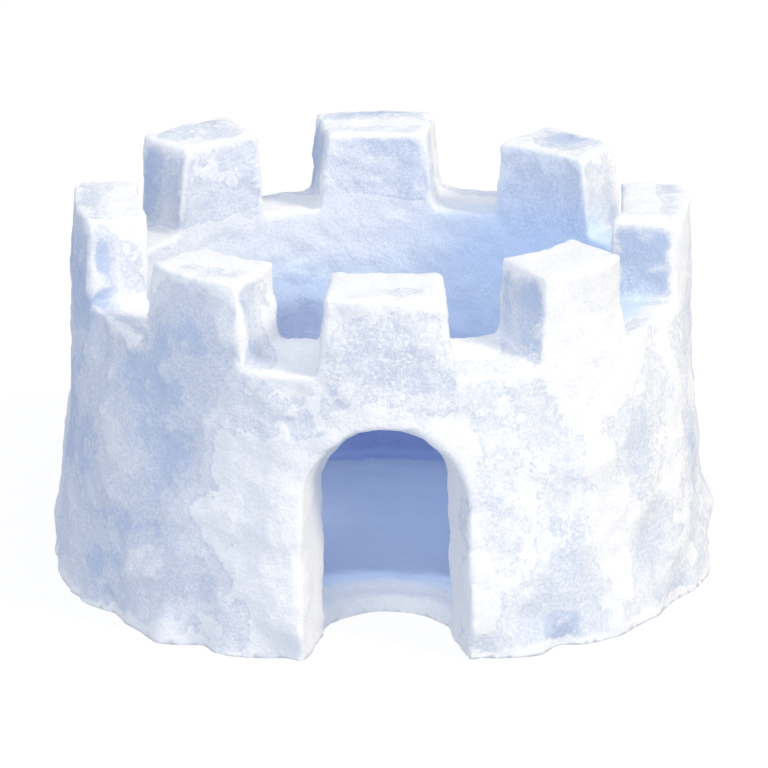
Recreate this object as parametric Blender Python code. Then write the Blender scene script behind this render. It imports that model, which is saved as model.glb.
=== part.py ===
"""A round snow fort, patted up by hand as one mass of packed snow.

A thin trodden floor joins a thick wall that leans in a little. Eight merlons stand on the wall,
with crenels between them, and a flared arch goes through it. The whole is cut off flat where it
stands on the ground. Metres, +Z up: the origin is on the ground under the middle of the fort,
and the doorway faces -Y. Angles are degrees round +Z from the doorway, positive towards +X.
"""

import math

import bmesh
import bpy
from mathutils import Vector, noise

# The wall. Its inside is an ellipse, so the wall is thicker at the doorway and at the back.
BASE_RADIUS = 1.052
TOP_RADIUS = 0.982
HEIGHT = 1.183
FLARE_POWER = 2.0  # how much of the outside's spread is near the ground
INSIDE_BASE = (0.835, 0.785)  # half widths along X and Y at the ground
INSIDE_TOP = (0.795, 0.712)  # the same at the top of the merlons
INSIDE_Y = 0.012  # the middle of the inside
FLOOR_THICKNESS = 0.055
ROUND_STEPS = 128
PROFILE_STEPS = 11

# The merlons: angle of the middle, half widths at the outside of the wall towards smaller and
# larger angles, the same two at its inside, how far the top stands above the usual height, and
# how much higher the next crenel's floor is at its inside than at its outside.
CRENEL_FLOOR = 0.922
MERLONS = (
    (0.7, (0.213, 0.214), (0.198, 0.198), 0.002, 0.032),
    (41.7, (0.207, 0.192), (0.160, 0.194), 0.024, 0.0),
    (92.0, (0.248, 0.206), (0.240, 0.214), 0.0, 0.0),
    (138.5, (0.166, 0.176), (0.220, 0.170), -0.004, 0.0),
    (181.4, (0.218, 0.220), (0.186, 0.190), -0.004, 0.0),
    (220.5, (0.192, 0.214), (0.136, 0.214), 0.026, 0.0),
    (268.5, (0.226, 0.278), (0.222, 0.206), 0.006, 0.0),
    (322.0, (0.198, 0.208), (0.180, 0.156), 0.014, 0.032),
)
MERLON_REACH = (0.972, 0.745)  # the distances from the middle at which the half widths are meant
MERLON_LEAN = 0.027  # what each side of a merlon loses from its foot to its top
CRENEL_REACH = (0.62, 1.35)
CRENEL_FILLET = 0.045

# The doorway narrows and lowers from the outside of the wall to the inside.
DOOR_MIDDLE = 0.012
DOOR_OUTSIDE = (0.274, 0.784)  # half width and crown height at the outside
DOOR_INSIDE = (0.198, 0.694)
DOOR_OUTSIDE_Y = -1.03
DOOR_INSIDE_Y = -0.745
SCOOP_RADIUS = 0.200  # the trodden hollow in the floor's edge behind the doorway
ARCH_STEPS = 30

# How the snow was patted smooth, and how much of that the solid keeps.
VOXEL = 0.018
SOFTEN_ROUNDS = 3
SETTLE_ROUNDS = 2  # the same again, after the lumps are on
SINK = 0.14  # depth below the ground that is cut away at the end, so that the cut is flat
OVERSHOOT = 0.3  # how far a cutter reaches past what it cuts
TRIANGLES = 10800

# Where the top of the wall leans in or out: angle, half width in degrees, and shift.
LEANS = (
    (-66.0, 17.0, -0.050),
    (67.0, 17.0, -0.058),
    (-104.0, 12.0, 0.012),
    (2.0, 13.0, 0.010),
)
LEAN_HEIGHTS = (0.62, 1.0)  # where a lean begins, and where it is whole
FILLINGS = ((-90.0, 10.0, -0.030), (92.0, 10.0, -0.030))  # the same, for the inside of the wall
FILLING_HEIGHTS = (0.80, 1.0)
OUTER_SHELL = (0.84, 0.98)  # distances from the middle between which the outside's moves set in

# Swells and hollows of the outside, as angle, height, half width, half height and rise.
PATS = (
    (41.4, 0.576, 0.075, 0.070, 0.014),
    (31.2, 0.395, 0.070, 0.150, -0.016),
    (28.7, 0.141, 0.110, 0.090, -0.018),
    (55.3, 0.231, 0.120, 0.110, -0.017),
    (68.0, 0.330, 0.100, 0.120, 0.015),
    (45.0, 0.040, 0.080, 0.070, 0.022),
    (33.0, 0.000, 0.055, 0.060, -0.040),
    (17.0, 0.000, 0.080, 0.080, -0.044),
    (66.0, 0.000, 0.130, 0.100, -0.024),
    (14.0, 0.260, 0.070, 0.220, 0.010),
    (-46.4, 0.219, 0.125, 0.070, 0.018),
    (-54.6, 0.479, 0.110, 0.150, 0.014),
    (-41.8, 0.585, 0.105, 0.140, -0.014),
    (-33.4, 0.180, 0.060, 0.130, -0.018),
    (-41.0, 0.000, 0.070, 0.080, 0.030),
    (-34.0, 0.000, 0.050, 0.060, -0.030),
    (-56.0, 0.000, 0.080, 0.080, -0.018),
    (-17.0, 0.000, 0.090, 0.080, -0.044),
    (-19.0, 0.420, 0.080, 0.200, 0.010),
    (-75.0, 0.260, 0.110, 0.160, 0.012),
    (-92.0, 0.600, 0.160, 0.150, -0.012),
    (90.0, 0.175, 0.110, 0.060, 0.024),
    (-88.0, 0.135, 0.120, 0.060, 0.018),
    (104.0, 0.420, 0.150, 0.120, -0.014),
    (127.0, 0.180, 0.140, 0.090, 0.018),
    (146.0, 0.520, 0.120, 0.140, 0.014),
    (163.0, 0.250, 0.130, 0.120, -0.016),
    (-176.0, 0.120, 0.120, 0.090, 0.018),
    (-158.0, 0.420, 0.110, 0.130, 0.013),
    (-137.0, 0.200, 0.130, 0.100, -0.016),
    (-118.0, 0.460, 0.130, 0.120, 0.014),
    (-103.0, 0.130, 0.120, 0.080, 0.016),
)
BROAD_SCALE, BROAD_RISE = 2.6, 0.018  # lumps per metre, and their height
SMALL_SCALE, SMALL_RISE = 7.5, 0.0075
NOISE_OCTAVES = 2
CALM_HEIGHT = 0.85  # above this height the lumps fade to half on the merlons

SNOW_COLOUR = (0.80, 0.86, 0.95, 1.0)
SNOW_ROUGHNESS = 0.85


def direction(angle):
    """The unit vector level with the ground at this angle from the doorway."""
    turn = math.radians(angle)
    return Vector((math.sin(turn), -math.cos(turn), 0.0))


def mesh_object(name, bm):
    """A new object that holds this bmesh, in flat triangles that face outwards."""
    bmesh.ops.triangulate(bm, faces=bm.faces)
    bmesh.ops.recalc_face_normals(bm, faces=bm.faces)
    mesh = bpy.data.meshes.new(name)
    bm.to_mesh(mesh)
    bm.free()
    made = bpy.data.objects.new(name, mesh)
    bpy.context.scene.collection.objects.link(made)
    return made


def outside_radius(height):
    """The outside of the wall, which spreads towards the ground."""
    rise = min(max(height / HEIGHT, 0.0), 1.0)
    return TOP_RADIUS + (BASE_RADIUS - TOP_RADIUS) * (1.0 - rise) ** FLARE_POWER


def mass_of_snow():
    """The outside as a solid of revolution, before anything is dug out of it."""
    bm = bmesh.new()
    heights = [HEIGHT * step / PROFILE_STEPS for step in range(PROFILE_STEPS + 1)]
    outline = [(0.0, -SINK), (BASE_RADIUS, -SINK)]
    outline += [(outside_radius(height), height) for height in heights]
    outline.append((0.0, HEIGHT))
    points = [bm.verts.new((radius, 0.0, height)) for radius, height in outline]
    edges = [bm.edges.new(pair) for pair in zip(points, points[1:])]
    bmesh.ops.spin(bm, geom=points + edges, cent=(0, 0, 0), axis=(0, 0, 1),
                   angle=2 * math.pi, steps=ROUND_STEPS, use_merge=True)
    bmesh.ops.remove_doubles(bm, verts=bm.verts, dist=1e-5)
    return mesh_object("snow_fort", bm)


def courtyard():
    """The space inside the wall, down to the floor."""
    bm = bmesh.new()
    made = bmesh.ops.create_cone(bm, cap_ends=True, segments=ROUND_STEPS,
                                 radius1=1.0, radius2=1.0, depth=1.0)
    top = HEIGHT + OVERSHOOT
    for vert in made["verts"]:
        height = top if vert.co.z > 0 else FLOOR_THICKNESS
        share = height / HEIGHT
        half = [low + (high - low) * share for low, high in zip(INSIDE_BASE, INSIDE_TOP)]
        vert.co = Vector((vert.co.x * half[0], vert.co.y * half[1] + INSIDE_Y, height))
    return mesh_object("courtyard", bm)


def merlon_corner(merlon, side, reach, lip, top):
    """A point on one side of a merlon, this far from the middle, at the cutter's foot or top."""
    middle, outer, inner = merlon[:3]
    half_out, half_in = outer[side > 0], inner[side > 0]
    share = (reach - MERLON_REACH[1]) / (MERLON_REACH[0] - MERLON_REACH[1])
    half = half_in + (half_out - half_in) * share
    height = CRENEL_FLOOR + lip * (1.0 - share)
    if top:
        height = HEIGHT + OVERSHOOT
        half -= MERLON_LEAN * (height - CRENEL_FLOOR) / (HEIGHT - CRENEL_FLOOR)
    corner = direction(middle) * reach + direction(middle + 90.0) * side * half
    return corner + Vector((0.0, 0.0, height))


def crenels():
    """The gaps between the merlons, with their lower corners filled out."""
    bm = bmesh.new()
    for here, after in zip(MERLONS, MERLONS[1:] + MERLONS[:1]):
        made = bmesh.ops.create_cube(bm, size=2.0)
        low_edges = [edge for edge in bm.edges
                     if edge.verts[0] in made["verts"]
                     and edge.verts[0].co.z < 0 and edge.verts[1].co.z < 0
                     and abs(edge.verts[0].co.y - edge.verts[1].co.y) > 1]
        for vert in made["verts"]:
            side, out, up = vert.co
            merlon = after if side > 0 else here
            vert.co = merlon_corner(merlon, -side, CRENEL_REACH[out > 0], here[4], up > 0)
        bmesh.ops.bevel(bm, geom=low_edges, offset=CRENEL_FILLET, segments=4,
                        profile=0.5, affect='EDGES', material=-1)
    return mesh_object("crenels", bm)


def doorway():
    """The flared arch, from outside the wall to inside it, and through the floor's thickness."""
    run = DOOR_INSIDE_Y - DOOR_OUTSIDE_Y
    slopes = [(inner - outer) / run for outer, inner in zip(DOOR_OUTSIDE, DOOR_INSIDE)]
    ends = (DOOR_OUTSIDE_Y - OVERSHOOT, DOOR_INSIDE_Y + OVERSHOOT / 3)
    bm = bmesh.new()
    rings = []
    for y in ends:
        half, crown = [outer + slope * (y - DOOR_OUTSIDE_Y)
                       for outer, slope in zip(DOOR_OUTSIDE, slopes)]
        outline = [(-half, -SINK - OVERSHOOT), (half, -SINK - OVERSHOOT)]
        for step in range(ARCH_STEPS + 1):
            turn = math.pi * step / ARCH_STEPS
            outline.append((half * math.cos(turn), crown - half + half * math.sin(turn)))
        ring = [bm.verts.new((DOOR_MIDDLE + x, y, z)) for x, z in outline]
        bm.faces.new(ring)
        rings.append([bm.edges.get(pair) for pair in zip(ring, ring[1:] + ring[:1])])
    bmesh.ops.bridge_loops(bm, edges=rings[0] + rings[1])
    return mesh_object("doorway", bm)


def scoop():
    """The round hollow trodden into the floor's edge where people step in."""
    bm = bmesh.new()
    made = bmesh.ops.create_cone(bm, cap_ends=True, segments=ROUND_STEPS // 2, radius1=1.0,
                                 radius2=1.0, depth=1.0)
    for vert in made["verts"]:
        height = FLOOR_THICKNESS + OVERSHOOT / 2 if vert.co.z > 0 else -SINK - OVERSHOOT
        vert.co = Vector((DOOR_MIDDLE + vert.co.x * SCOOP_RADIUS,
                          DOOR_INSIDE_Y + vert.co.y * SCOOP_RADIUS, height))
    return mesh_object("scoop", bm)


def keep_evaluated(obj):
    """Replaces the object's mesh by what its modifiers make of it."""
    graph = bpy.context.evaluated_depsgraph_get()
    obj.data = bpy.data.meshes.new_from_object(obj.evaluated_get(graph))
    obj.modifiers.clear()


def dig_out(snow, cutters):
    """Takes each cutter's shape out of the snow, and the cutter out of the scene."""
    for cutter in cutters:
        cut = snow.modifiers.new(cutter.name, 'BOOLEAN')
        cut.operation = 'DIFFERENCE'
        cut.object = cutter
    keep_evaluated(snow)
    for cutter in cutters:
        bpy.data.objects.remove(cutter)


def even_skin(snow):
    """Covers the snow with small faces of one size."""
    even = snow.modifiers.new("even", 'REMESH')
    even.mode = 'VOXEL'
    even.voxel_size = VOXEL
    keep_evaluated(snow)


def pat_round(snow, rounds):
    """Rounds every edge, as gloves do, by relaxing the skin."""
    soft = snow.modifiers.new("soft", 'SMOOTH')
    soft.factor = 0.5
    soft.iterations = rounds
    keep_evaluated(snow)


def ease(value, low, high):
    """Goes smoothly from 0 at low to 1 at high."""
    share = min(max((value - low) / (high - low), 0.0), 1.0)
    return share * share * (3.0 - 2.0 * share)


def bearing(point):
    """The point's angle round the fort, from the doorway."""
    return math.degrees(math.atan2(point.x, -point.y))


def pat_rise(point):
    """How far the listed swells and hollows lift the outside here."""
    angle = bearing(point)
    rise = 0.0
    for middle, height, half_width, half_height, most in PATS:
        turn = math.radians((angle - middle + 180.0) % 360.0 - 180.0)
        across = turn * BASE_RADIUS / half_width
        up = (point.z - height) / half_height
        rise += most * math.exp(-across * across - up * up)
    return rise


def lump_rise(point):
    """How far the lumps of the hand-laid snow lift any surface here."""
    broad = noise.fractal(point * BROAD_SCALE, 1.0, 2.0, NOISE_OCTAVES)
    small = noise.fractal(point * SMALL_SCALE, 1.0, 2.0, NOISE_OCTAVES)
    return broad * BROAD_RISE + small * SMALL_RISE


def lean(point, leans, heights):
    """How far the top of the wall is shifted away from the middle here."""
    angle = bearing(point)
    shift = 0.0
    for middle, half_width, most in leans:
        off = ((angle - middle + 180.0) % 360.0 - 180.0) / half_width
        shift += most * math.exp(-off * off)
    return shift * ease(point.z, *heights)


def merlon_rise(point):
    """How far the merlon here, if there is one, stands above the usual height."""
    angle = bearing(point)
    off = [abs((angle - merlon[0] + 180.0) % 360.0 - 180.0) for merlon in MERLONS]
    nearest = MERLONS[off.index(min(off))]
    share = min(max((point.z - CRENEL_FLOOR) / (HEIGHT - CRENEL_FLOOR), 0.0), 1.0)
    return nearest[3] * share


def add_lumps(snow):
    """Moves the skin in and out: fully on the outside of the wall, less on merlons and inside."""
    bm = bmesh.new()
    bm.from_mesh(snow.data)
    bm.normal_update()
    moves = []
    for vert in bm.verts:
        level = Vector((vert.co.x, vert.co.y, 0.0))
        outward = level.normalized()
        outside = ease(level.length, *OUTER_SHELL)
        calm = 1.0 - 0.5 * ease(vert.co.z, CALM_HEIGHT, HEIGHT)
        move = vert.normal * lump_rise(vert.co) * (0.4 + 0.6 * outside) * calm
        shift = pat_rise(vert.co) * outside + lean(vert.co, LEANS, LEAN_HEIGHTS)
        shift += lean(vert.co, FILLINGS, FILLING_HEIGHTS) * (1.0 - outside)
        move += outward * shift
        move.z += merlon_rise(vert.co)
        moves.append(move)
    for vert, move in zip(bm.verts, moves):
        vert.co += move
    bm.to_mesh(snow.data)
    bm.free()


def thin_out(snow):
    """Leaves the triangles that the form needs."""
    corners = sum(len(face.vertices) - 2 for face in snow.data.polygons)
    thin = snow.modifiers.new("thin", 'DECIMATE')
    thin.ratio = TRIANGLES / corners
    keep_evaluated(snow)


def stand_on_ground(snow):
    """Cuts the snow off flat at the ground, closes the cut and centres the fort on the origin."""
    bm = bmesh.new()
    bm.from_mesh(snow.data)
    bmesh.ops.bisect_plane(bm, geom=bm.verts[:] + bm.edges[:] + bm.faces[:], dist=1e-5,
                           plane_co=(0, 0, 0), plane_no=(0, 0, 1), clear_inner=True)
    rim = [edge for edge in bm.edges if edge.is_boundary]
    bmesh.ops.triangle_fill(bm, edges=rim, use_beauty=True)
    bmesh.ops.triangulate(bm, faces=bm.faces)
    bmesh.ops.recalc_face_normals(bm, faces=bm.faces)
    middle = Vector([(min(v.co[k] for v in bm.verts) + max(v.co[k] for v in bm.verts)) / 2
                     for k in (0, 1)] + [0.0])
    bmesh.ops.translate(bm, verts=bm.verts, vec=-middle)
    bm.to_mesh(snow.data)
    bm.free()


def snow_material():
    """Packed snow: white with the blue that light takes on inside it, and quite matt."""
    made = bpy.data.materials.new("packed_snow")
    made.use_nodes = True
    shader = made.node_tree.nodes["Principled BSDF"]
    shader.inputs["Base Color"].default_value = SNOW_COLOUR
    shader.inputs["Roughness"].default_value = SNOW_ROUGHNESS
    shader.inputs["Metallic"].default_value = 0.0
    return made


def main():
    for obj in list(bpy.data.objects):
        bpy.data.objects.remove(obj)
    snow = mass_of_snow()
    dig_out(snow, [courtyard(), crenels(), doorway(), scoop()])
    even_skin(snow)
    pat_round(snow, SOFTEN_ROUNDS)
    add_lumps(snow)
    even_skin(snow)
    pat_round(snow, SETTLE_ROUNDS)
    thin_out(snow)
    stand_on_ground(snow)
    snow.data.shade_smooth()
    snow.data.set_sharp_from_angle(angle=math.radians(50))
    snow.data.materials.clear()
    snow.data.materials.append(snow_material())


main()
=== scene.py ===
"""The looks of a round snow fort, patted up by hand from packed snow.

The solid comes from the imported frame. This file gives it its skin of snow, with the lumps,
crumbs and soft edges that gloved hands leave, its material, a plain stage and a camera.
Metres, +Z up: the origin is on the ground under the middle of the fort, and the doorway faces
-Y. Bearings are degrees round +Z from the doorway, positive towards +X.
"""

import math

import bmesh
import bpy
import numpy as np
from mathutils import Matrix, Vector, noise


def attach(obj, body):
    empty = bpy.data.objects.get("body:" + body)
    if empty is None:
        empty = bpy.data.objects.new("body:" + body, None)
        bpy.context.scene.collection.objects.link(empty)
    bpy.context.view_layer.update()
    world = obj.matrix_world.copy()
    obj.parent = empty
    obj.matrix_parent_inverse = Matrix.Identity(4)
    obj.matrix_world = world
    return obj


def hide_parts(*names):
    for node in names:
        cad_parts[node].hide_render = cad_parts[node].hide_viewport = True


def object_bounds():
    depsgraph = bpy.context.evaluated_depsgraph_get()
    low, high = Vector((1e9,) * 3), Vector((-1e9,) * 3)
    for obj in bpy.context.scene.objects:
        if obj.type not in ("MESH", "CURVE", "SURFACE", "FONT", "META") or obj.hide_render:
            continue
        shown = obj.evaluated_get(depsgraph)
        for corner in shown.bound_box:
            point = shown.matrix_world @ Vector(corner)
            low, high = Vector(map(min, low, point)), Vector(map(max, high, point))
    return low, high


bl_info = {
    "name": "Snow Fort",
    "version": (1, 0, 0),
    "blender": (4, 5, 0),
    "location": "3D View > Sidebar > Snow Fort",
    "description": "Gives a packed-snow fort its skin, its material and a plain stage",
    "category": "Object",
}

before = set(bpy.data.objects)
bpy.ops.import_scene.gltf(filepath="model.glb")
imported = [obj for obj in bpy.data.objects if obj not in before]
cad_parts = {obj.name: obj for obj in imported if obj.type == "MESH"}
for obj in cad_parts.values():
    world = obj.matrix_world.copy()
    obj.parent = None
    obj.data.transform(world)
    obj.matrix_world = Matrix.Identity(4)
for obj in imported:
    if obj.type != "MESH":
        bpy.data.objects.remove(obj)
CAD_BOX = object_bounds()

# The wall, as in the solid. Its inside is an ellipse, so it is thicker at the doorway and the back.
BASE_RADIUS = 1.052
TOP_RADIUS = 0.982
HEIGHT = 1.183
FLARE_POWER = 2.0  # how much of the outside's spread is near the ground
INSIDE_BASE = (0.835, 0.785)  # half widths along X and Y at the ground
INSIDE_TOP = (0.795, 0.712)  # the same at the top of the merlons
INSIDE_Y = 0.012  # the middle of the inside
FLOOR_THICKNESS = 0.055
ROUND_STEPS = 160
PROFILE_STEPS = 16

# The merlons: bearing of the middle, half widths at the outside of the wall towards smaller and
# larger bearings, the same two at its inside, how far the top stands above the usual height, and
# how much higher the next crenel's floor is at its inside than at its outside.
CRENEL_FLOOR = 0.922
MERLONS = (
    (0.7, (0.213, 0.214), (0.198, 0.198), 0.002, 0.032),
    (41.7, (0.207, 0.192), (0.160, 0.194), 0.024, 0.0),
    (92.0, (0.248, 0.206), (0.240, 0.214), 0.0, 0.0),
    (138.5, (0.166, 0.176), (0.220, 0.170), -0.004, 0.0),
    (181.4, (0.218, 0.220), (0.186, 0.190), -0.004, 0.0),
    (220.5, (0.192, 0.214), (0.136, 0.214), 0.026, 0.0),
    (268.5, (0.226, 0.278), (0.222, 0.206), 0.006, 0.0),
    (322.0, (0.198, 0.208), (0.180, 0.156), 0.014, 0.032),
)
MERLON_REACH = (0.972, 0.745)  # the distances from the middle at which the half widths are meant
MERLON_LEAN = 0.027  # what each side of a merlon loses from its foot to its top
CRENEL_REACH = (0.62, 1.35)  # distances from the middle between which the gaps are cut
CRENEL_FILLET = 0.045
FILLET_STEPS = 4

# The doorway narrows and lowers from the outside of the wall to the inside.
DOOR_MIDDLE = 0.012
DOOR_OUTSIDE = (0.274, 0.784)  # half width and crown height at the outside
DOOR_INSIDE = (0.198, 0.694)
DOOR_OUTSIDE_Y = -1.03
DOOR_INSIDE_Y = -0.745
SCOOP_RADIUS = 0.200  # the trodden hollow in the floor's edge behind the doorway
ARCH_STEPS = 40

SINK = 0.14  # depth below the ground that is cut away at the end
OVERSHOOT = 0.3  # how far a cutter reaches past what it cuts
MERGE_DISTANCE = 1e-5  # points closer than this are one
RELAX_PULL = 0.5  # how far one round of relaxing pulls a point to its neighbours

# Where the top of the wall leans in or out: bearing, half width in degrees, and shift.
LEANS = (
    (-66.0, 17.0, -0.050),
    (67.0, 17.0, -0.058),
    (-104.0, 12.0, 0.012),
    (2.0, 13.0, 0.010),
)
LEAN_HEIGHTS = (0.62, 1.0)  # where a lean begins, and where it is whole
FILLINGS = ((-90.0, 10.0, -0.030), (92.0, 10.0, -0.030))  # the same, for the inside of the wall
FILLING_HEIGHTS = (0.80, 1.0)
OUTER_SHELL = (0.84, 0.98)  # distances from the middle between which the outside's moves set in

# Unevenness of the whole wall: distance from swell to swell and rise, in metres.
SWELLS = ((1.0 / 2.6, 0.018), (1.0 / 7.5, 0.0075))
INSIDE_SWELL = 0.4  # the share of it on the inside, which was scraped smoother
TOP_SWELL = 0.5  # the share of it that is left at the top of the merlons
CALM_HEIGHT = 0.85  # the height from which it fades to that share

# Relief of the skin: the setting for its height, the distance from one to the next in metres, and
# a shift that keeps the patterns apart.
SKIN_RELIEF = (("pats", 0.085, 7.0), ("lumps", 0.040, 3.0), ("crumbs", 0.018, -5.0))
FRACTAL = (1.0, 2.0, 2)  # dimension, lacunarity and octaves of all of it

# Where thinning out folds the skin over itself, it is smoothed.
FOLD_ANGLE = 1.0  # from face to face, in radians
FOLD_ROUNDS = 6
FOLD_PULL = 0.7

# Swells and hollows of the outside: bearing, height, half width, half height and rise.
PATS = (
    (41.4, 0.576, 0.075, 0.070, 0.014),
    (31.2, 0.395, 0.070, 0.150, -0.016),
    (28.7, 0.141, 0.110, 0.090, -0.018),
    (55.3, 0.231, 0.120, 0.110, -0.017),
    (68.0, 0.330, 0.100, 0.120, 0.015),
    (45.0, 0.040, 0.080, 0.070, 0.022),
    (33.0, 0.000, 0.055, 0.060, -0.040),
    (17.0, 0.000, 0.080, 0.080, -0.044),
    (66.0, 0.000, 0.130, 0.100, -0.024),
    (14.0, 0.260, 0.070, 0.220, 0.010),
    (-46.4, 0.219, 0.125, 0.070, 0.018),
    (-54.6, 0.479, 0.110, 0.150, 0.014),
    (-41.8, 0.585, 0.105, 0.140, -0.014),
    (-33.4, 0.180, 0.060, 0.130, -0.018),
    (-41.0, 0.000, 0.070, 0.080, 0.030),
    (-34.0, 0.000, 0.050, 0.060, -0.030),
    (-56.0, 0.000, 0.080, 0.080, -0.018),
    (-17.0, 0.000, 0.090, 0.080, -0.044),
    (-19.0, 0.420, 0.080, 0.200, 0.010),
    (-75.0, 0.260, 0.110, 0.160, 0.012),
    (-92.0, 0.600, 0.160, 0.150, -0.012),
    (90.0, 0.175, 0.110, 0.060, 0.024),
    (-88.0, 0.135, 0.120, 0.060, 0.018),
    (104.0, 0.420, 0.150, 0.120, -0.014),
    (127.0, 0.180, 0.140, 0.090, 0.018),
    (146.0, 0.520, 0.120, 0.140, 0.014),
    (163.0, 0.250, 0.130, 0.120, -0.016),
    (-176.0, 0.120, 0.120, 0.090, 0.018),
    (-158.0, 0.420, 0.110, 0.130, 0.013),
    (-137.0, 0.200, 0.130, 0.100, -0.016),
    (-118.0, 0.460, 0.130, 0.120, 0.014),
    (-103.0, 0.130, 0.120, 0.080, 0.016),
)

# Washes of painted shade on the outside, laid mostly on the sides turned from the key light, and
# bare white places between them, partly painted highlight and partly uneven tone: bearing,
# height, half width, half height, all in metres but the first, and depth.
OUTSIDE_PAINTED_SHADE = (
    (-54.0, 0.45, 0.46, 0.60, 0.38),
    (-40.0, 0.88, 0.32, 0.20, 0.26),
    (-81.0, 1.02, 0.24, 0.20, 0.42),
    (-41.0, 0.63, 0.16, 0.10, 0.22),
    (-20.0, 0.76, 0.13, 0.08, 0.24),
    (-52.0, 0.12, 0.20, 0.10, 0.20),
    (-32.6, 0.24, 0.08, 0.10, 0.20),
    (-23.5, 0.09, 0.07, 0.09, 0.24),
    (-80.0, 0.40, 0.10, 0.40, 0.18),
    (-55.0, 0.52, 0.14, 0.17, -0.11),
    (-45.7, 0.24, 0.12, 0.08, -0.20),
    (-34.7, 0.42, 0.12, 0.08, -0.14),
    (-27.0, 0.60, 0.12, 0.13, -0.26),
    (-18.0, 0.32, 0.09, 0.40, -0.70),
    (6.0, 0.90, 0.26, 0.10, 0.14),
    (0.0, 1.02, 0.20, 0.14, 0.38),
    (32.0, 0.50, 0.60, 0.75, 0.10),
    (20.0, 0.57, 0.07, 0.18, 0.24),
    (33.5, 0.37, 0.09, 0.13, 0.30),
    (32.0, 0.14, 0.21, 0.13, 0.37),
    (28.0, 0.04, 0.34, 0.07, 0.16),
    (52.0, 0.57, 0.11, 0.09, 0.12),
    (41.0, 0.58, 0.06, 0.065, -0.45),
    (45.0, 0.30, 0.07, 0.20, -0.40),
    (55.0, 0.24, 0.08, 0.12, 0.33),
    (62.0, 0.04, 0.16, 0.08, 0.40),
    (73.0, 0.49, 0.07, 0.22, 0.30),
    (88.0, 0.45, 0.10, 0.50, 0.14),
    (40.0, 1.00, 0.22, 0.20, -0.20),
    (180.0, 0.50, 2.00, 0.80, 0.34),
    (115.0, 0.40, 0.26, 0.24, 0.12),
    (134.0, 0.62, 0.16, 0.18, -0.14),
    (148.0, 0.76, 0.20, 0.18, 0.12),
    (160.0, 0.22, 0.14, 0.12, -0.14),
    (174.0, 0.38, 0.28, 0.18, 0.13),
    (-168.0, 0.68, 0.17, 0.14, -0.15),
    (-152.0, 0.48, 0.24, 0.26, 0.12),
    (-136.0, 0.26, 0.15, 0.13, -0.14),
    (-120.0, 0.32, 0.26, 0.24, 0.12),
    (-106.0, 0.70, 0.16, 0.18, 0.12),
)
WASH_FADE = 1.5  # how sharply these washes end
WASH_REACH = (0.86, 0.94)  # distances from the middle between which they set in
INSIDE_BARE = 0.12  # how much less of these washes the courtyard's wall gets
INSIDE_REACH = (0.84, 0.90)  # distances from the middle between which that ends

# Painted shade on single faces of merlons, and washes on some of their tops: place, half widths
# along X, Y and Z, and depth.
FACE_PAINTED_SHADE = (
    ((0.803, -0.235, 1.045), (0.100, 0.070, 0.116), 0.92),
    ((0.425, -0.760, 1.060), (0.075, 0.130, 0.125), 0.70),
    ((-0.600, -0.840, 1.060), (0.190, 0.140, 0.130), 0.24),
    ((-0.735, 0.500, 1.060), (0.100, 0.130, 0.130), 0.46),
    ((-0.230, 0.850, 1.060), (0.036, 0.130, 0.130), 0.56),
    ((0.680, 0.480, 1.000), (0.100, 0.090, 0.180), 0.40),
    ((0.494, 0.558, 1.030), (0.150, 0.150, 0.180), 0.36),
    ((-0.830, -0.235, 1.030), (0.090, 0.070, 0.110), 0.32),
    ((-0.385, -0.790, 1.050), (0.075, 0.130, 0.130), 0.22),
    ((0.000, 0.700, 1.070), (0.200, 0.100, 0.120), 0.46),
    ((-0.520, 0.520, 1.070), (0.150, 0.150, 0.140), 0.37),
    ((0.000, 0.930, 1.190), (0.230, 0.090, 0.030), 0.40),
    ((0.640, 0.690, 1.190), (0.170, 0.160, 0.030), 0.38),
    ((-0.600, 0.700, 1.210), (0.170, 0.160, 0.030), 0.38),
    ((-0.900, -0.020, 1.190), (0.080, 0.230, 0.030), 0.26),
    ((0.930, 0.040, 1.190), (0.070, 0.230, 0.030), 0.22),
)
FACE_FADE = 8  # how sharply they end

# The courtyard's painted shade: most, the side it is on (1 for +X), and three pairs of limits,
# between which it sets in towards that side, sets in upwards, and ends upwards.
EVERYWHERE = (-9.0, -8.0)  # limits that every place is past
SHADES = (
    (0.40, 1, EVERYWHERE, EVERYWHERE, (0.25, 1.15)),
    (0.14, 1, (0.30, 0.62), EVERYWHERE, (0.85, 1.15)),
    (0.20, 1, (0.05, 0.40), (0.60, 0.80), (0.85, 1.15)),
    (0.45, -1, (0.05, 0.30), (0.12, 0.35), (0.50, 0.80)),
    (0.30, 1, EVERYWHERE, EVERYWHERE, (0.15, 0.19)),
)
COURTYARD_HALF = (0.86, 0.80)  # half widths along X and Y of where it can be
COURTYARD_EDGE = (0.98, 1.08)  # shares of them between which it ends
FOOT_SHADE = 0.30  # what is added at the foot of the wall
FOOT_REACH = (0.86, 0.90)  # shares of the half widths between which that sets in
FOOT_HEIGHTS = (0.13, 0.19)  # heights between which it ends
ENTRANCE_REACH = (0.24, 0.46)  # distances from the doorway between which the shade sets in

# Painted highlight in white flecks: on the tops, and on the walls round to the right of the
# doorway, which face the key light.
HIGHLIGHT_BEARINGS = (-34.0, 4.0)  # between which it sets in
HIGHLIGHT_BACK = (100.0, 150.0)  # bearings between which it thins out
HIGHLIGHT_BACK_LOSS = 0.6
HIGHLIGHT_REACH = (0.88, 0.95)  # distances from the middle between which it sets in
HIGHLIGHT_LOW = 0.35  # how much there is near the ground
HIGHLIGHT_HEIGHTS = (0.20, 0.45)  # heights between which it gets whole
HIGHLIGHT_TOPS = (1.155, 1.175)  # heights between which the tops begin

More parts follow.
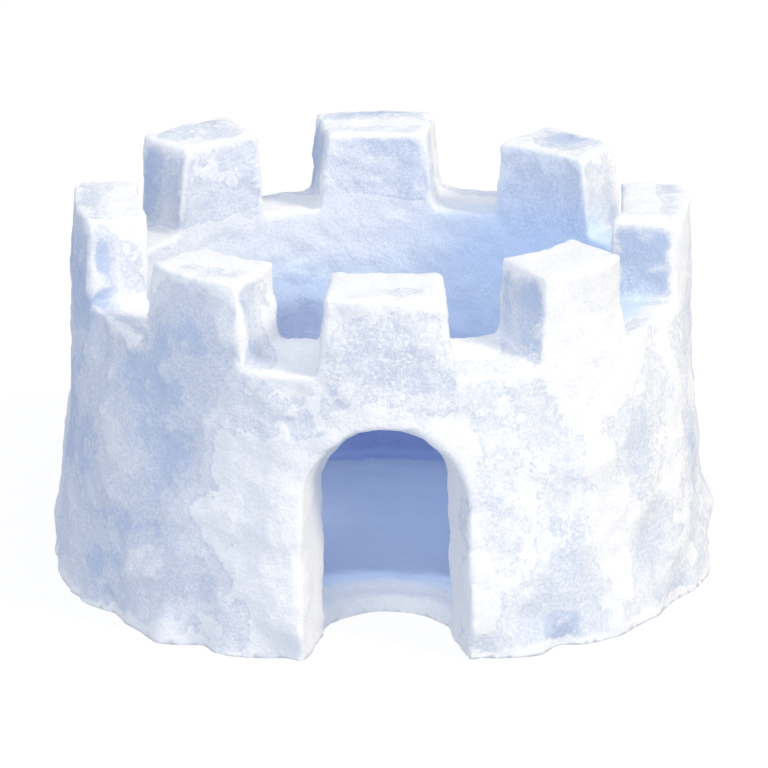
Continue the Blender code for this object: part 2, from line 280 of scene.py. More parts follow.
# Patterns of the material: size in millimetres, detail, roughness and distortion. The size is that
# of the broadest forms, and detail adds finer ones to them.
CLOUDS = (222.2, 3.0, 0.5, 0.3)  # one armful of snow beside the next
MOTTLES = (58.82, 4.0, 0.6, 0.6)  # what a few fingers press at once
FRAY = (26.316, 3.0, 0.6, 0.0)  # crumbs along the edge of a wash
FLECKS = (16.129, 5.0, 0.7, 0.0)  # flecks of the painted highlight, from 5 to 20 mm
GRAINS = (10.526, 5.0, 0.8, 0.0)  # real ones, of 1 to 3 mm, are too fine to show, so 3 to 10 mm
CRUMBLE = (14.286, 6.0, 0.72, 0.0)  # grains and crumbs that catch the light, from 4 to 25 mm
RAGGED = (0.80, 0.26, 0.14)  # what clouds, mottles and fray add to a wash
DRYNESS = 0.71  # what is taken off again, so that bare snow is below 0
# A wash starts with a sharp, darker line, and lies in layers that deepen inwards: the wetness at
# which each layer starts and is whole, and its depth.
WASH_LAYERS = (
    (0.02, 0.04, 0.38),
    (0.05, 0.11, -0.14),
    (0.20, 0.23, 0.14),
    (0.38, 0.41, 0.12),
    (0.04, 0.85, 0.42),
)
FLECK_LOSS = -0.30  # how clouds and wetness hold the flecks back
FLECK_LIMITS = (0.325, 0.365)  # between them, a fleck goes from nothing to whole
EDGE_HIGHLIGHT_LIMITS = (0.0002, 0.0012)  # the same for a painted highlight on an edge that sticks out, in metres
WHITENING = -0.85  # what the painted highlights of flecks and edges do to a wash
GRAIN_LIMITS = (0.45, 0.55)  # between them, a grain goes from fine to dense
BUMP_STRENGTH = 0.9
BUMP_RISE = 0.007  # metres
GRAIN_SHARES = (0.62, 0.12)  # how much denser grains show in a wash, and on bare snow

FLOOR_STEPS = 64
FLOOR_GLOW = 0.9  # how far the floor shines of itself, so that it stays pale
GLOW_PLACE = (0.22, 0.10, 0.80)  # where the lamp hangs in the courtyard
GLOW_RADIUS = 0.3
SENSOR_WIDTH = 36.0  # millimetres
VIEW_LIMITS = (1.0, 200.0)  # the nearest and farthest that the camera sees


def linear(colour):
    """An sRGB hex colour such as "#ffffff" as linear red, green, blue and alpha."""
    parts = [int(colour[k:k + 2], 16) / 255.0 for k in (1, 3, 5)]
    return [c / 12.92 if c <= 0.04045 else ((c + 0.055) / 1.055) ** 2.4 for c in parts] + [1.0]


def colour_property(name, description, colour):
    """A colour that a user may change."""
    return bpy.props.FloatVectorProperty(
        name=name, description=description, subtype='COLOR', size=4, min=0.0, max=1.0,
        default=linear(colour))


def length_property(name, description, metres):
    """A length that a user may change."""
    return bpy.props.FloatProperty(
        name=name, description=description, default=metres, min=0.0,
        subtype='DISTANCE', unit='LENGTH', precision=4)


def angle_property(name, description, degrees):
    """An angle that a user may change."""
    return bpy.props.FloatProperty(
        name=name, description=description, default=math.radians(degrees), subtype='ANGLE')


def strength_property(name, description, value):
    """A strength of light that a user may change."""
    return bpy.props.FloatProperty(name=name, description=description, default=value, min=0.0)


class SnowSettings(bpy.types.PropertyGroup):
    """What the snow is like."""
    skin: length_property("Skin", "Size of the small faces that the skin is made of", 0.0095)
    pats: length_property("Pats", "How far the pats of a glove lift or sink the skin", 0.0050)
    lumps: length_property("Lumps", "How far the lumps of snow stand out", 0.0030)
    crumbs: length_property("Crumbs", "How far the crumbs of the crust stand out", 0.0014)
    relax: bpy.props.IntProperty(
        name="Relax", description="How often the skin is relaxed before it gets its lumps",
        default=9, min=0)
    triangles: bpy.props.IntProperty(
        name="Triangles", description="How many triangles the finished skin may have",
        default=190000, min=1000)
    # The white along the edges is a painted highlight.
    edge_highlight_width: bpy.props.IntProperty(
        name="Scuff", description="How wide the white scuffs along the edges are, in small faces",
        default=4, min=0)
    white: colour_property("White", "Fresh, dry snow", "#f7f8fa")
    # The lighter and the deeper colour of the painted shade outside the courtyard.
    shade_wash: colour_property("Wash", "Harder packed snow", "#e1e6ef")
    blue: colour_property("Blue", "The densest snow", "#b4c6e6")
    # The painted shade in the courtyard: down its wall, on its floor, and deepest at the foot of
    # its wall.
    courtyard_wall_shade: colour_property("Sky", "Snow on the courtyard's wall", "#daeafe")
    courtyard_floor_shade: colour_property("Deep", "Trodden snow on the courtyard's floor", "#b2c0dd")
    foot: colour_property("Foot", "Snow at the foot of the courtyard's wall", "#98abdb")
    grain: colour_property("Grain", "Single denser grains", "#b5c4e0")


class StageSettings(bpy.types.PropertyGroup):
    """The floor, the lights and the camera."""
    floor_radius: length_property("Floor radius", "Reach of the plain floor", 60.0)
    fill_bearing: angle_property(
        "Fill bearing", "Where the fill light comes from, round +Z", -10.0)
    fill_height: angle_property(
        "Fill height", "How high the fill light stands above the horizon", 18.0)
    fill_strength: strength_property(
        "Fill strength", "Watts on a square metre that faces the fill light", 1.15)
    top_strength: strength_property(
        "Top strength", "Watts on a level square metre from the top light", 0.50)
    soft_size: angle_property(
        "Soft size", "How wide the fill and top lights look from the fort", 60.0)
    key_bearing: angle_property("Key bearing", "Where the key light comes from, round +Z", 62.0)
    key_height: angle_property(
        "Key height", "How high the key light stands above the horizon", 39.0)
    key_size: angle_property("Key size", "How wide the key light looks from the fort", 14.0)
    key_strength: strength_property(
        "Key strength", "Watts on a square metre that faces the key light", 1.92)
    key_colour: colour_property("Key colour", "Colour of the key light", "#ffefcc")
    glow_power: strength_property(
        "Glow power", "Watts of the lamp that hangs in the courtyard", 2.7)
    glow_colour: colour_property("Glow colour", "Light that has gone through snow", "#c4dcff")
    sky_strength: strength_property(
        "Sky strength", "Strength of the even light from all round", 0.96)
    sky_colour: colour_property("Sky colour", "Colour of the even light", "#c4ccdc")
    view_distance: length_property("View distance", "From the camera to its aim", 30.0)
    view_height: angle_property("View height", "How far the camera looks down", 19.2)
    aim_height: length_property(
        "Aim height", "Height of the point that the camera aims at", 0.5607)
    lens: bpy.props.FloatProperty(
        name="Lens", description="Focal length in millimetres on a 36 mm sensor",
        default=440.86, min=1.0)


def ease(value, low, high):
    """Goes smoothly from 0 at low to 1 at high, for numbers or arrays."""
    share = np.clip((value - low) / (high - low), 0.0, 1.0)
    return share * share * (3.0 - 2.0 * share)


def points_of(mesh):
    """The mesh's vertices as an array of points."""
    points = np.zeros(len(mesh.vertices) * 3, np.float32)
    mesh.vertices.foreach_get("co", points)
    return points.reshape(-1, 3).astype(float)


def normals_of(mesh):
    """The mesh's vertex normals as an array."""
    normals = np.zeros(len(mesh.vertices) * 3, np.float32)
    mesh.vertex_normals.foreach_get("vector", normals)
    return normals.reshape(-1, 3).astype(float)


def keep_evaluated(obj):
    """Replaces the object's mesh by what its modifiers make of it."""
    graph = bpy.context.evaluated_depsgraph_get()
    obj.data = bpy.data.meshes.new_from_object(obj.evaluated_get(graph))
    obj.modifiers.clear()


def direction(angle):
    """The unit vector level with the ground at this bearing."""
    turn = math.radians(angle)
    return Vector((math.sin(turn), -math.cos(turn), 0.0))


def place_in_scene(name, data):
    """A new object for this mesh, lamp or camera."""
    made = bpy.data.objects.new(name, data)
    bpy.context.scene.collection.objects.link(made)
    return made


def mesh_object(name, bm):
    """A new object that holds this bmesh, in flat triangles that face outwards."""
    bmesh.ops.triangulate(bm, faces=bm.faces)
    bmesh.ops.recalc_face_normals(bm, faces=bm.faces)
    mesh = bpy.data.meshes.new(name)
    bm.to_mesh(mesh)
    bm.free()
    return place_in_scene(name, mesh)


def mass_of_snow(name):
    """The outside as a solid of revolution, before anything is dug out of it."""
    bm = bmesh.new()
    outline = [(0.0, -SINK), (BASE_RADIUS, -SINK)]
    for step in range(PROFILE_STEPS + 1):
        rise = step / PROFILE_STEPS
        spread = (BASE_RADIUS - TOP_RADIUS) * (1.0 - rise) ** FLARE_POWER
        outline.append((TOP_RADIUS + spread, HEIGHT * rise))
    outline.append((0.0, HEIGHT))
    points = [bm.verts.new((radius, 0.0, height)) for radius, height in outline]
    edges = [bm.edges.new(pair) for pair in zip(points, points[1:])]
    bmesh.ops.spin(bm, geom=points + edges, cent=(0, 0, 0), axis=(0, 0, 1),
                   angle=2 * math.pi, steps=ROUND_STEPS, use_merge=True)
    bmesh.ops.remove_doubles(bm, verts=bm.verts, dist=MERGE_DISTANCE)
    return mesh_object(name, bm)


def courtyard():
    """The space inside the wall, down to the floor."""
    bm = bmesh.new()
    made = bmesh.ops.create_cone(bm, cap_ends=True, segments=ROUND_STEPS,
                                 radius1=1.0, radius2=1.0, depth=1.0)
    for vert in made["verts"]:
        height = HEIGHT + OVERSHOOT if vert.co.z > 0 else FLOOR_THICKNESS
        share = height / HEIGHT
        half = [low + (high - low) * share for low, high in zip(INSIDE_BASE, INSIDE_TOP)]
        vert.co = Vector((vert.co.x * half[0], vert.co.y * half[1] + INSIDE_Y, height))
    return mesh_object("courtyard", bm)


def merlon_corner(merlon, side, reach, lip, top):
    """A point on one side of a merlon, this far from the middle, at the cutter's foot or top."""
    middle, outer, inner = merlon[:3]
    half_out, half_in = outer[side > 0], inner[side > 0]
    share = (reach - MERLON_REACH[1]) / (MERLON_REACH[0] - MERLON_REACH[1])
    half = half_in + (half_out - half_in) * share
    height = CRENEL_FLOOR + lip * (1.0 - share)
    if top:
        height = HEIGHT + OVERSHOOT
        half -= MERLON_LEAN * (height - CRENEL_FLOOR) / (HEIGHT - CRENEL_FLOOR)
    corner = direction(middle) * reach + direction(middle + 90.0) * side * half
    return corner + Vector((0.0, 0.0, height))


def crenels():
    """The gaps between the merlons, with their lower corners filled out."""
    bm = bmesh.new()
    for here, after in zip(MERLONS, MERLONS[1:] + MERLONS[:1]):
        made = bmesh.ops.create_cube(bm, size=2.0)
        low_edges = [edge for edge in bm.edges
                     if edge.verts[0] in made["verts"]
                     and edge.verts[0].co.z < 0 and edge.verts[1].co.z < 0
                     and abs(edge.verts[0].co.y - edge.verts[1].co.y) > 1]
        for vert in made["verts"]:
            side, out, up = vert.co
            merlon = after if side > 0 else here
            vert.co = merlon_corner(merlon, -side, CRENEL_REACH[out > 0], here[4], up > 0)
        bmesh.ops.bevel(bm, geom=low_edges, offset=CRENEL_FILLET, segments=FILLET_STEPS,
                        profile=0.5, affect='EDGES', material=-1)
    return mesh_object("crenels", bm)


def doorway():
    """The flared arch, from outside the wall to inside it, and through the floor's thickness."""
    run = DOOR_INSIDE_Y - DOOR_OUTSIDE_Y
    slopes = [(inner - outer) / run for outer, inner in zip(DOOR_OUTSIDE, DOOR_INSIDE)]
    bm = bmesh.new()
    rings = []
    for y in (DOOR_OUTSIDE_Y - OVERSHOOT, DOOR_INSIDE_Y + OVERSHOOT / 3):
        half, crown = [outer + slope * (y - DOOR_OUTSIDE_Y)
                       for outer, slope in zip(DOOR_OUTSIDE, slopes)]
        outline = [(-half, -SINK - OVERSHOOT), (half, -SINK - OVERSHOOT)]
        for step in range(ARCH_STEPS + 1):
            turn = math.pi * step / ARCH_STEPS
            outline.append((half * math.cos(turn), crown - half + half * math.sin(turn)))
        ring = [bm.verts.new((DOOR_MIDDLE + x, y, z)) for x, z in outline]
        bm.faces.new(ring)
        rings.append([bm.edges.get(pair) for pair in zip(ring, ring[1:] + ring[:1])])
    bmesh.ops.bridge_loops(bm, edges=rings[0] + rings[1])
    return mesh_object("doorway", bm)


def scoop():
    """The round hollow trodden into the floor's edge where people step in."""
    bm = bmesh.new()
    made = bmesh.ops.create_cone(bm, cap_ends=True, segments=ROUND_STEPS // 2, radius1=1.0,
                                 radius2=1.0, depth=1.0)
    for vert in made["verts"]:
        height = FLOOR_THICKNESS + OVERSHOOT / 2 if vert.co.z > 0 else -SINK - OVERSHOOT
        vert.co = Vector((DOOR_MIDDLE + vert.co.x * SCOOP_RADIUS,
                          DOOR_INSIDE_Y + vert.co.y * SCOOP_RADIUS, height))
    return mesh_object("scoop", bm)


def dig_out(snow, cutters):
    """Takes each cutter's shape out of the snow, and the cutter out of the scene."""
    for cutter in cutters:
        cut = snow.modifiers.new(cutter.name, 'BOOLEAN')
        cut.operation = 'DIFFERENCE'
        cut.object = cutter
    keep_evaluated(snow)
    for cutter in cutters:
        bpy.data.objects.remove(cutter)


def even_skin(obj, size):
    """Covers the snow with small faces of one size."""
    even = obj.modifiers.new("even", 'REMESH')
    even.mode = 'VOXEL'
    even.voxel_size = size
    keep_evaluated(obj)


def relax(obj, rounds):
    """Softens every edge a little, as gloves do."""
    soft = obj.modifiers.new("soft", 'SMOOTH')
    soft.factor = RELAX_PULL
    soft.iterations = rounds
    keep_evaluated(obj)


def fractal(points, size, shift=0.0):
    """Lumps about this many metres apart, from about -1 to 1."""
    return np.array([noise.fractal(Vector(p), *FRACTAL) for p in (points + shift) / size])


def bearings(points):
    """Each point's bearing in degrees."""
    return np.degrees(np.arctan2(points[:, 0], -points[:, 1]))


def turn_between(points, bearing):
    """How far each point's bearing is from this one, from -180 to 180 degrees."""
    return (bearings(points) - bearing + 180.0) % 360.0 - 180.0


def pat_rise(points):
    """How far the listed swells and hollows lift the outside."""
    rise = np.zeros(len(points))
    for bearing, height, half_width, half_height, most in PATS:
        across = np.radians(turn_between(points, bearing)) * BASE_RADIUS / half_width
        up = (points[:, 2] - height) / half_height
        rise += most * np.exp(-across * across - up * up)
    return rise


def lean(points, leans, heights):
    """How far the top of the wall is shifted away from the middle."""
    shift = np.zeros(len(points))
    for bearing, half_width, most in leans:
        shift += most * np.exp(-(turn_between(points, bearing) / half_width) ** 2)
    return shift * ease(points[:, 2], *heights)


def merlon_rise(points):
    """How far the nearest merlon stands above the usual height."""
    off = np.array([np.abs(turn_between(points, merlon[0])) for merlon in MERLONS])
    rise = np.array([merlon[3] for merlon in MERLONS])[off.argmin(axis=0)]
    return rise * np.clip((points[:, 2] - CRENEL_FLOOR) / (HEIGHT - CRENEL_FLOOR), 0.0, 1.0)


def shape_by_hand(obj, snow):
    """Leans, swells and dents the wall, and lifts pats, lumps and crumbs out of its skin."""
    points = points_of(obj.data)
    normals = normals_of(obj.data)
    level = points * (1.0, 1.0, 0.0)
    reach = np.linalg.norm(level, axis=1)
    outside = ease(reach, *OUTER_SHELL)
    broad = sum(fractal(points, size) * rise for size, rise in SWELLS)
    calm = 1.0 - (1.0 - TOP_SWELL) * ease(points[:, 2], CALM_HEIGHT, HEIGHT)
    broad *= (INSIDE_SWELL + (1.0 - INSIDE_SWELL) * outside) * calm
    fine = sum(fractal(points, size, shift) * getattr(snow, name)
               for name, size, shift in SKIN_RELIEF)
    moved = points + normals * (broad + fine)[:, None]
    outward = level / np.maximum(reach, 1e-6)[:, None]
    shift = pat_rise(points) * outside + lean(points, LEANS, LEAN_HEIGHTS)
    shift += lean(points, FILLINGS, FILLING_HEIGHTS) * (1.0 - outside)
    moved += outward * shift[:, None]
    moved[:, 2] += merlon_rise(points)
    obj.data.vertices.foreach_set("co", moved.astype(np.float32).ravel())
    obj.data.update()


def thin_out(obj, triangles):
    """Leaves this many triangles, most of them where the skin bends."""
    corners = sum(len(face.vertices) - 2 for face in obj.data.polygons)
    thin = obj.modifiers.new("thin", 'DECIMATE')
    thin.ratio = min(1.0, triangles / corners)
    keep_evaluated(obj)


def press_folds(obj):
    """Smooths the few places where thinning out has folded the skin over itself."""
    bm = bmesh.new()
    bm.from_mesh(obj.data)
    for _ in range(FOLD_ROUNDS):
        bm.normal_update()
        folded = {vert for edge in bm.edges
                  if len(edge.link_faces) == 2 and edge.calc_face_angle() > FOLD_ANGLE
                  for vert in edge.verts}
        if not folded:
            break
        bmesh.ops.smooth_vert(bm, verts=list(folded), factor=FOLD_PULL,
                              use_axis_x=True, use_axis_y=True, use_axis_z=True)
    bm.to_mesh(obj.data)
    bm.free()


def stand_on_ground(obj):
    """Cuts the snow off flat at the ground, closes the cut and centres the fort."""
    bm = bmesh.new()
    bm.from_mesh(obj.data)
    bmesh.ops.bisect_plane(bm, geom=bm.verts[:] + bm.edges[:] + bm.faces[:],
                           dist=MERGE_DISTANCE, plane_co=(0, 0, 0), plane_no=(0, 0, 1),
                           clear_inner=True)
    rim = [edge for edge in bm.edges if edge.is_boundary]
    bmesh.ops.triangle_fill(bm, edges=rim, use_beauty=True)
    bmesh.ops.triangulate(bm, faces=bm.faces)
    bmesh.ops.recalc_face_normals(bm, faces=bm.faces)
    middle = Vector([(min(v.co[k] for v in bm.verts) + max(v.co[k] for v in bm.verts)) / 2
                     for k in (0, 1)] + [0.0])
    bmesh.ops.translate(bm, verts=bm.verts, vec=-middle)
    bm.to_mesh(obj.data)
    bm.free()


def fit_in_box(obj, box):
    """Draws the snow in by the few millimetres that its crisper edges reach past the solid's."""
    points = points_of(obj.data)
    low, high = np.array(box[0]), np.array(box[1])
    share = np.minimum(high / points.max(axis=0), 1.0)
    share[:2] = np.minimum(share[:2], (low / points.min(axis=0))[:2])
    obj.data.vertices.foreach_set("co", (points * share).astype(np.float32).ravel())
    obj.data.update()


def store(mesh, name, values):
    """Keeps one number for each vertex, for the material to read."""
    layer = mesh.attributes.new(name, 'FLOAT', 'POINT')
    layer.data.foreach_set("value", values.astype(np.float32))


def painted_shade_depth(points):
    """How deep the painted shade is, from below 0 where it leaves bare white to about 1."""
    reach = np.hypot(points[:, 0], points[:, 1])
    outside = np.zeros(len(points))
    for bearing, height, half_width, half_height, most in OUTSIDE_PAINTED_SHADE:
        across = np.radians(turn_between(points, bearing)) * reach / half_width
        up = (points[:, 2] - height) / half_height
        outside += most * np.exp(-(across * across + up * up) ** WASH_FADE)
    depth = outside * ease(reach, *WASH_REACH) - INSIDE_BARE * (1.0 - ease(reach, *INSIDE_REACH))
    for middle, half, most in FACE_PAINTED_SHADE:
        off = np.abs(points - middle) / half
        depth += most * np.exp(-(off ** FACE_FADE).sum(axis=1))
    return depth


def painted_courtyard_shade(points):
    """How much shade is painted into the courtyard: 0 outside, to 0.4 down its wall, 0.7 on its
    floor and 1 at the foot of the wall."""
    across, height = points[:, 0], points[:, 2]
    reach = np.hypot(*(points[:, :2] / COURTYARD_HALF).T)
    shade = FOOT_SHADE * ease(reach, *FOOT_REACH) * (1.0 - ease(height, *FOOT_HEIGHTS))
    for most, side, sideways, rise, fall in SHADES:
        shade += (most * ease(side * across, *sideways) * ease(height, *rise)
                  * (1.0 - ease(height, *fall)))
    entrance = np.hypot(across, points[:, 1] - DOOR_INSIDE_Y)
    return shade * (1.0 - ease(reach, *COURTYARD_EDGE)) * ease(entrance, *ENTRANCE_REACH)


def highlight_fleck_share(points):
    """How much painted highlight there is, in white flecks."""
    turn = bearings(points)
    reach = np.hypot(points[:, 0], points[:, 1])
    around = ease(turn, *HIGHLIGHT_BEARINGS) * (1.0 - HIGHLIGHT_BACK_LOSS * ease(turn, *HIGHLIGHT_BACK))
    upward = HIGHLIGHT_LOW + (1.0 - HIGHLIGHT_LOW) * ease(points[:, 2], *HIGHLIGHT_HEIGHTS)
    return np.maximum(around * ease(reach, *HIGHLIGHT_REACH) * upward,
                      ease(points[:, 2], *HIGHLIGHT_TOPS))


def spread(values, one, other, count):
    """The mean of each vertex's neighbours."""
    total = np.stack([np.bincount(one, column[other], len(count))
                      + np.bincount(other, column[one], len(count))
                      for column in values.T], axis=1)
    return total / count[:, None]


def edge_share(mesh, rounds):
    """How much the skin sticks out at each vertex, in metres, spread over its neighbours."""
    points = points_of(mesh)
    pairs = np.empty(len(mesh.edges) * 2, np.int64)
    mesh.edges.foreach_get("vertices", pairs)
    one, other = pairs[0::2], pairs[1::2]
    count = np.bincount(pairs, minlength=len(points))
    bulge = points - spread(points, one, other, count)
    out = (bulge * normals_of(mesh)).sum(axis=1)[:, None]
    for _ in range(rounds):
        out = 0.5 * out + 0.5 * spread(out, one, other, count)
    return out[:, 0]


def add_node(tree, kind, inputs=None, **settings):
    """Adds a node with these settings, and sets its inputs or links sockets into them."""
    node = tree.nodes.new(kind)
    for name, value in settings.items():
        setattr(node, name, value)
    for key, value in (inputs or {}).items():
        if isinstance(value, bpy.types.NodeSocket):
            tree.links.new(value, node.inputs[key])
        else:
            node.inputs[key].default_value = value
    return node


def packed_snow(snow):
    """Packed snow, patted by gloves: matt white with fine grains, which softens every shadow, and
    painted shade in blue washes where little light falls, and painted highlights in white flecks."""
    made = bpy.data.materials.new("packed_snow")
    made.use_nodes = True
    tree = made.node_tree
    tree.nodes.clear()
    place = add_node(tree, "ShaderNodeTexCoord").outputs["Object"]
    shade_wash, highlight_flecks, edge, courtyard_shaded = [
        add_node(tree, "ShaderNodeAttribute", attribute_name=name).outputs["Fac"]
        for name in ("shade_wash", "highlight_flecks", "edge", "painted_courtyard_shade")]
    clouds, mottles, fray, flecks, grains, crumble = [
        add_node(tree, "ShaderNodeTexNoise",
                 {"Vector": place, "Scale": 1000.0 / size, "Detail": detail,
                  "Roughness": roughness, "Distortion": distortion}).outputs["Fac"]
        for size, detail, roughness, distortion in (
            CLOUDS, MOTTLES, FRAY, FLECKS, GRAINS, CRUMBLE)]

    # Clouds, mottles and fray make the edges of the washes ragged.
    wet = shade_wash
    for pattern, share in zip((clouds, mottles, fray), RAGGED):
        wet = add_node(tree, "ShaderNodeMath", {0: pattern, 1: share, 2: wet},
                       operation='MULTIPLY_ADD').outputs[0]
    wet = add_node(tree, "ShaderNodeMath", {0: wet, 1: DRYNESS}, operation='SUBTRACT').outputs[0]
    washed = 0.0
    for low, high, depth in WASH_LAYERS:
        layer = add_node(tree, "ShaderNodeMapRange",
                         {"Value": wet, "From Min": low, "From Max": high, "To Max": depth},
                         interpolation_type='SMOOTHSTEP').outputs[0]
        washed = add_node(tree, "ShaderNodeMath", {0: washed, 1: layer},
                          operation='ADD').outputs[0]

    # Painted highlights lie on them in white flecks, and along edges that stick out.
    for held in (clouds, wet):
        flecks = add_node(tree, "ShaderNodeMath", {0: held, 1: FLECK_LOSS, 2: flecks},
                          operation='MULTIPLY_ADD').outputs[0]
    fleck_highlight, edge_highlight = [
        add_node(tree, "ShaderNodeMapRange", {"Value": value, "From Min": low, "From Max": high},
                 interpolation_type='SMOOTHSTEP').outputs[0]
        for value, (low, high) in ((flecks, FLECK_LIMITS), (edge, EDGE_HIGHLIGHT_LIMITS))]
    fleck_highlight = add_node(tree, "ShaderNodeMath", {0: fleck_highlight, 1: highlight_flecks},
                      operation='MULTIPLY').outputs[0]
    for cover in (fleck_highlight, edge_highlight):
        left = add_node(tree, "ShaderNodeMath", {0: cover, 1: WHITENING, 2: 1.0},
                        operation='MULTIPLY_ADD').outputs[0]
        washed = add_node(tree, "ShaderNodeMath", {0: washed, 1: left},
                          operation='MULTIPLY').outputs[0]

    # The colour goes from white to blue with the painted shade of the washes, and the painted shade
    # of the courtyard goes from sky blue down its wall to deeper on its floor.
    colour = snow.white
    for value, low, high, over in (
            (washed, 0.0, 0.5, snow.shade_wash),
            (washed, 0.45, 1.0, snow.blue),
            (courtyard_shaded, 0.0, 0.4, snow.courtyard_wall_shade),
            (courtyard_shaded, 0.4, 0.7, snow.courtyard_floor_shade),
            (courtyard_shaded, 0.7, 1.0, snow.foot)):
        share = add_node(tree, "ShaderNodeMapRange",
                         {"Value": value, "From Min": low, "From Max": high},
                         interpolation_type='SMOOTHSTEP').outputs[0]
        colour = add_node(tree, "ShaderNodeMix", {0: share, 6: colour, 7: over},
                          data_type='RGBA').outputs[2]

    # Some grains are denser than others, and most of them show in a wash.
    dense = add_node(tree, "ShaderNodeMapRange",
                     {"Value": grains, "From Min": GRAIN_LIMITS[0], "From Max": GRAIN_LIMITS[1]},
                     interpolation_type='SMOOTHSTEP').outputs[0]
    shown = add_node(tree, "ShaderNodeMath",
                     {0: washed, 1: GRAIN_SHARES[0], 2: GRAIN_SHARES[1]},
                     operation='MULTIPLY_ADD').outputs[0]
    share = add_node(tree, "ShaderNodeMath", {0: dense, 1: shown},
                     operation='MULTIPLY').outputs[0]
    colour = add_node(tree, "ShaderNodeMix", {0: share, 6: colour, 7: snow.grain},
                      data_type='RGBA').outputs[2]

    bump = add_node(tree, "ShaderNodeBump",
                    {"Height": crumble, "Strength": BUMP_STRENGTH, "Distance": BUMP_RISE})
    shader = add_node(tree, "ShaderNodeBsdfPrincipled",
                      {"Base Color": colour, "Normal": bump.outputs["Normal"],
                       "Roughness": 0.85, "IOR": 1.31, "Metallic": 0.0})
    add_node(tree, "ShaderNodeOutputMaterial", {"Surface": shader.outputs["BSDF"]})
    return made


class SNOWFORT_OT_pack_snow(bpy.types.Operator):
    """Covers the solid with a skin of packed snow"""
    bl_idname = "snowfort.pack_snow"
    bl_label = "Pack the snow"
    bl_options = {'REGISTER', 'UNDO'}

    def execute(self, context):
        snow = context.scene.snow_fort_snow
        fort = mass_of_snow("fort_of_packed_snow")
        dig_out(fort, [courtyard(), crenels(), doorway(), scoop()])
        even_skin(fort, snow.skin)
        relax(fort, snow.relax)
        shape_by_hand(fort, snow)
        thin_out(fort, snow.triangles)
        press_folds(fort)
        stand_on_ground(fort)
        fit_in_box(fort, CAD_BOX)
        points = points_of(fort.data)
        store(fort.data, "shade_wash", painted_shade_depth(points))
        store(fort.data, "painted_courtyard_shade", painted_courtyard_shade(points))
        store(fort.data, "highlight_flecks", highlight_fleck_share(points))
        store(fort.data, "edge", edge_share(fort.data, snow.edge_highlight_width))
        fort.data.shade_smooth()
        fort.data.materials.clear()
        fort.data.materials.append(packed_snow(snow))
        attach(fort, "root")
        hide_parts("snow_fort")
        return {'FINISHED'}


def plain_floor(stage):
    """A round, plain, pale floor that keeps only a trace of the fort's shadow."""
    bm = bmesh.new()
    bmesh.ops.create_circle(bm, cap_ends=True, segments=FLOOR_STEPS, radius=stage.floor_radius)
    mesh = bpy.data.meshes.new("floor")
    bm.to_mesh(mesh)
    bm.free()
    floor = place_in_scene("floor", mesh)
    floor.visible_diffuse = False
    paper = bpy.data.materials.new("pale_floor")
    paper.use_nodes = True
    tree = paper.node_tree
    tree.nodes.clear()
    glow = add_node(tree, "ShaderNodeEmission",
                    {"Color": linear("#ffffff"), "Strength": FLOOR_GLOW})
    matt = add_node(tree, "ShaderNodeBsdfDiffuse", {"Color": linear("#5c5c5c")})
    both = add_node(tree, "ShaderNodeAddShader", {0: glow.outputs[0], 1: matt.outputs[0]})
    add_node(tree, "ShaderNodeOutputMaterial", {"Surface": both.outputs[0]})
    mesh.materials.append(paper)
    return floor


def far_lamp(name, strength, size, colour, height, bearing):
    """A far-off soft lamp that shines from this height and bearing."""
    data = bpy.data.lights.new(name, 'SUN')
    data.energy = strength
    data.angle = size
    data.color = colour[:3]
    place_in_scene(name, data).rotation_euler = (math.pi / 2 - height, 0.0, bearing)


def courtyard_glow(stage):
    """The light that snow passes on from wall to wall, more often than a renderer follows it."""
    data = bpy.data.lights.new("glow", 'POINT')
    data.energy = stage.glow_power
    data.shadow_soft_size = GLOW_RADIUS
    data.color = stage.glow_colour[:3]
    glow = place_in_scene("glow", data)
    glow.location = GLOW_PLACE
    glow.visible_camera = False


def soft_studio(stage):
    """Even light from all round, in front of a plain white background."""
    world = bpy.data.worlds.new("soft_studio")
    world.use_nodes = True
    tree = world.node_tree
    tree.nodes.clear()
    around = add_node(tree, "ShaderNodeBackground",
                      {"Color": stage.sky_colour, "Strength": stage.sky_strength})
    plain = add_node(tree, "ShaderNodeBackground", {"Color": linear("#ffffff")})
    seen = add_node(tree, "ShaderNodeLightPath").outputs["Is Camera Ray"]
    both = add_node(tree, "ShaderNodeMixShader",
                    {0: seen, 1: around.outputs[0], 2: plain.outputs[0]})
    add_node(tree, "ShaderNodeOutputWorld", {"Surface": both.outputs[0]})
    return world


def front_camera(stage):
    """A camera far off in front of the doorway, which looks down at the fort."""
    data = bpy.data.cameras.new("camera")
    data.sensor_width = SENSOR_WIDTH
    data.lens = stage.lens
    data.clip_start, data.clip_end = VIEW_LIMITS
    camera = place_in_scene("camera", data)
    down = stage.view_height
    camera.location = (0.0, -stage.view_distance * math.cos(down),
                       stage.aim_height + stage.view_distance * math.sin(down))
    camera.rotation_euler = (math.pi / 2 - down, 0.0, 0.0)
    return camera


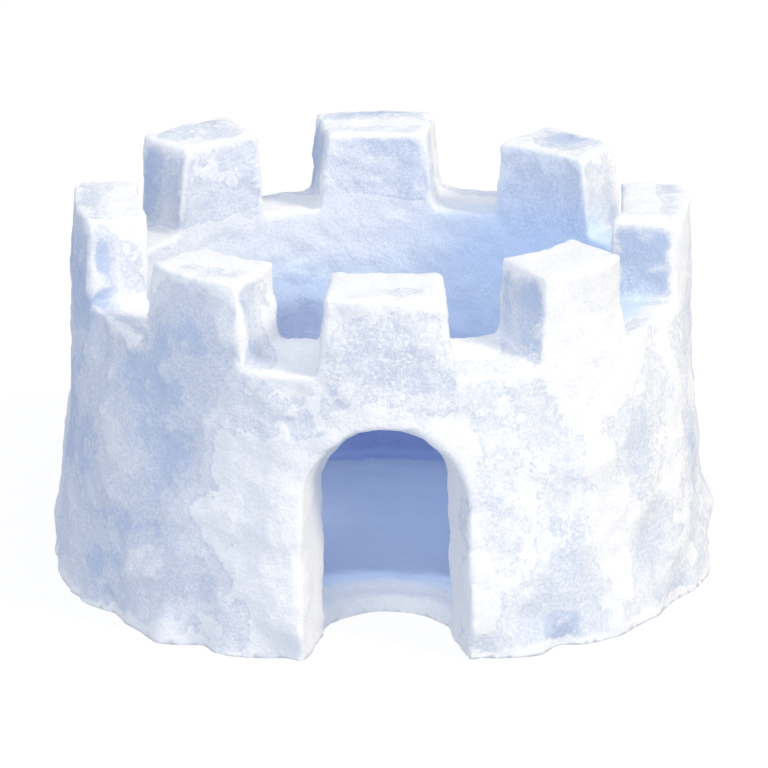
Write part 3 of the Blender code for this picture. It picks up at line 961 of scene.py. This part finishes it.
class SNOWFORT_OT_set_stage(bpy.types.Operator):
    """Lays the floor and sets the lights and the camera"""
    bl_idname = "snowfort.set_stage"
    bl_label = "Set the stage"
    bl_options = {'REGISTER', 'UNDO'}

    def execute(self, context):
        stage = context.scene.snow_fort_stage
        plain_floor(stage)
        far_lamp("key", stage.key_strength, stage.key_size, stage.key_colour,
                 stage.key_height, stage.key_bearing)
        far_lamp("fill", stage.fill_strength, stage.soft_size, linear("#ffffff"),
                 stage.fill_height, stage.fill_bearing)
        far_lamp("top", stage.top_strength, stage.soft_size, linear("#ffffff"),
                 math.pi / 2, 0.0)
        courtyard_glow(stage)
        context.scene.world = soft_studio(stage)
        context.scene.view_settings.view_transform = 'Standard'
        context.scene.camera = front_camera(stage)
        return {'FINISHED'}


class SNOWFORT_PT_sidebar(bpy.types.Panel):
    """The snow fort's tab in the sidebar"""
    bl_idname = "SNOWFORT_PT_sidebar"
    bl_label = "Snow Fort"
    bl_space_type = 'VIEW_3D'
    bl_region_type = 'UI'
    bl_category = "Snow Fort"

    def draw(self, context):
        for settings, operator in (
                (context.scene.snow_fort_snow, SNOWFORT_OT_pack_snow),
                (context.scene.snow_fort_stage, SNOWFORT_OT_set_stage)):
            box = self.layout.box()
            for name in settings.bl_rna.properties.keys():
                if name not in {"rna_type", "name"}:
                    box.prop(settings, name)
            box.operator(operator.bl_idname)


CLASSES = (
    SnowSettings,
    StageSettings,
    SNOWFORT_OT_pack_snow,
    SNOWFORT_OT_set_stage,
    SNOWFORT_PT_sidebar,
)


def register():
    """Adds the settings, the operators and the panel to Blender."""
    for item in CLASSES:
        bpy.utils.register_class(item)
    bpy.types.Scene.snow_fort_snow = bpy.props.PointerProperty(type=SnowSettings)
    bpy.types.Scene.snow_fort_stage = bpy.props.PointerProperty(type=StageSettings)


def unregister():
    """Takes them out again."""
    del bpy.types.Scene.snow_fort_stage
    del bpy.types.Scene.snow_fort_snow
    for item in reversed(CLASSES):
        bpy.utils.unregister_class(item)


def main():
    """Builds the fort and its stage."""
    register()
    bpy.ops.snowfort.pack_snow()
    bpy.ops.snowfort.set_stage()


if __name__ == "__main__":
    main()
